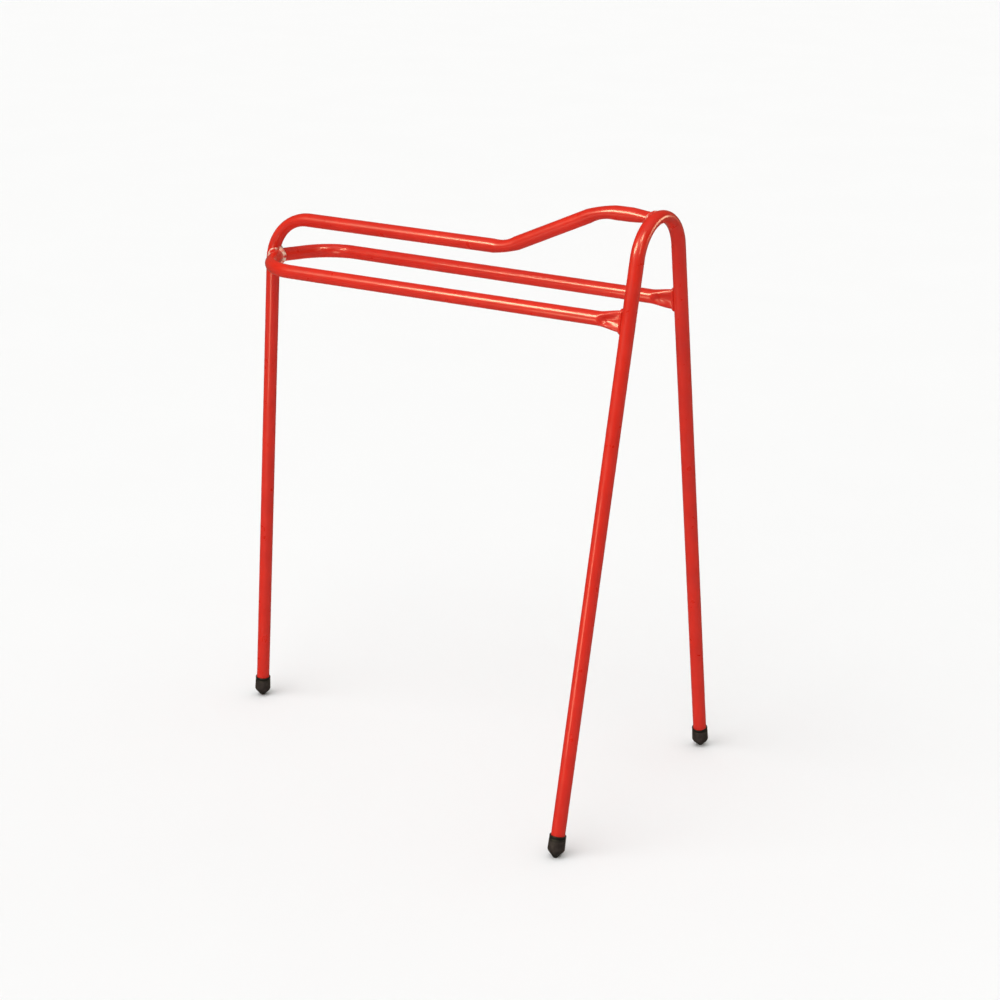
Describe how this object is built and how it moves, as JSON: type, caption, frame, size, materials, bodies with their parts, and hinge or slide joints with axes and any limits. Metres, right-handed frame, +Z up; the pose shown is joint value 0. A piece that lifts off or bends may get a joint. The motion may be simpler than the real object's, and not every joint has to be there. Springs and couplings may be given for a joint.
{
  "type": "saddle rack",
  "caption": "Free-standing saddle rack of bent and welded steel tube: a single rear leg runs into a raised spine, side rails join a splayed front hoop, and the feet wear rubber tips.",
  "frame": {"origin": "on the floor, under the middle of the rack's bounding box", "axes": "+X towards the hoop, where the saddle's pommel goes; +Y to the left; +Z up"},
  "size_m": [0.6968, 0.4296, 0.8329],
  "materials": {
    "front_hoop_coat": "gloss red coating on steel tube",
    "spine_and_rear_leg_coat": "gloss red coating on steel tube",
    "side_rails_coat": "gloss red coating on steel tube",
    "welds_coat": "gloss red coating over weld beads",
    "black_rubber": "matt moulded rubber",
    "zinc_steel": "zinc-plated pressed steel"
  },
  "bodies": {
    "root": {"front_hoop": "front_hoop_coat", "spine_and_rear_leg": "spine_and_rear_leg_coat", "left_side_rail": "side_rails_coat", "right_side_rail": "side_rails_coat", "crown_weld": "welds_coat", "left_nose_weld": "welds_coat", "right_nose_weld": "welds_coat", "left_rail_end_weld": "welds_coat", "right_rail_end_weld": "welds_coat", "rear_foot_tip": "black_rubber", "left_foot_tip": "black_rubber", "right_foot_tip": "black_rubber", "rear_tip_washer": "zinc_steel", "left_tip_washer": "zinc_steel", "right_tip_washer": "zinc_steel"}
  },
  "joints": []
}
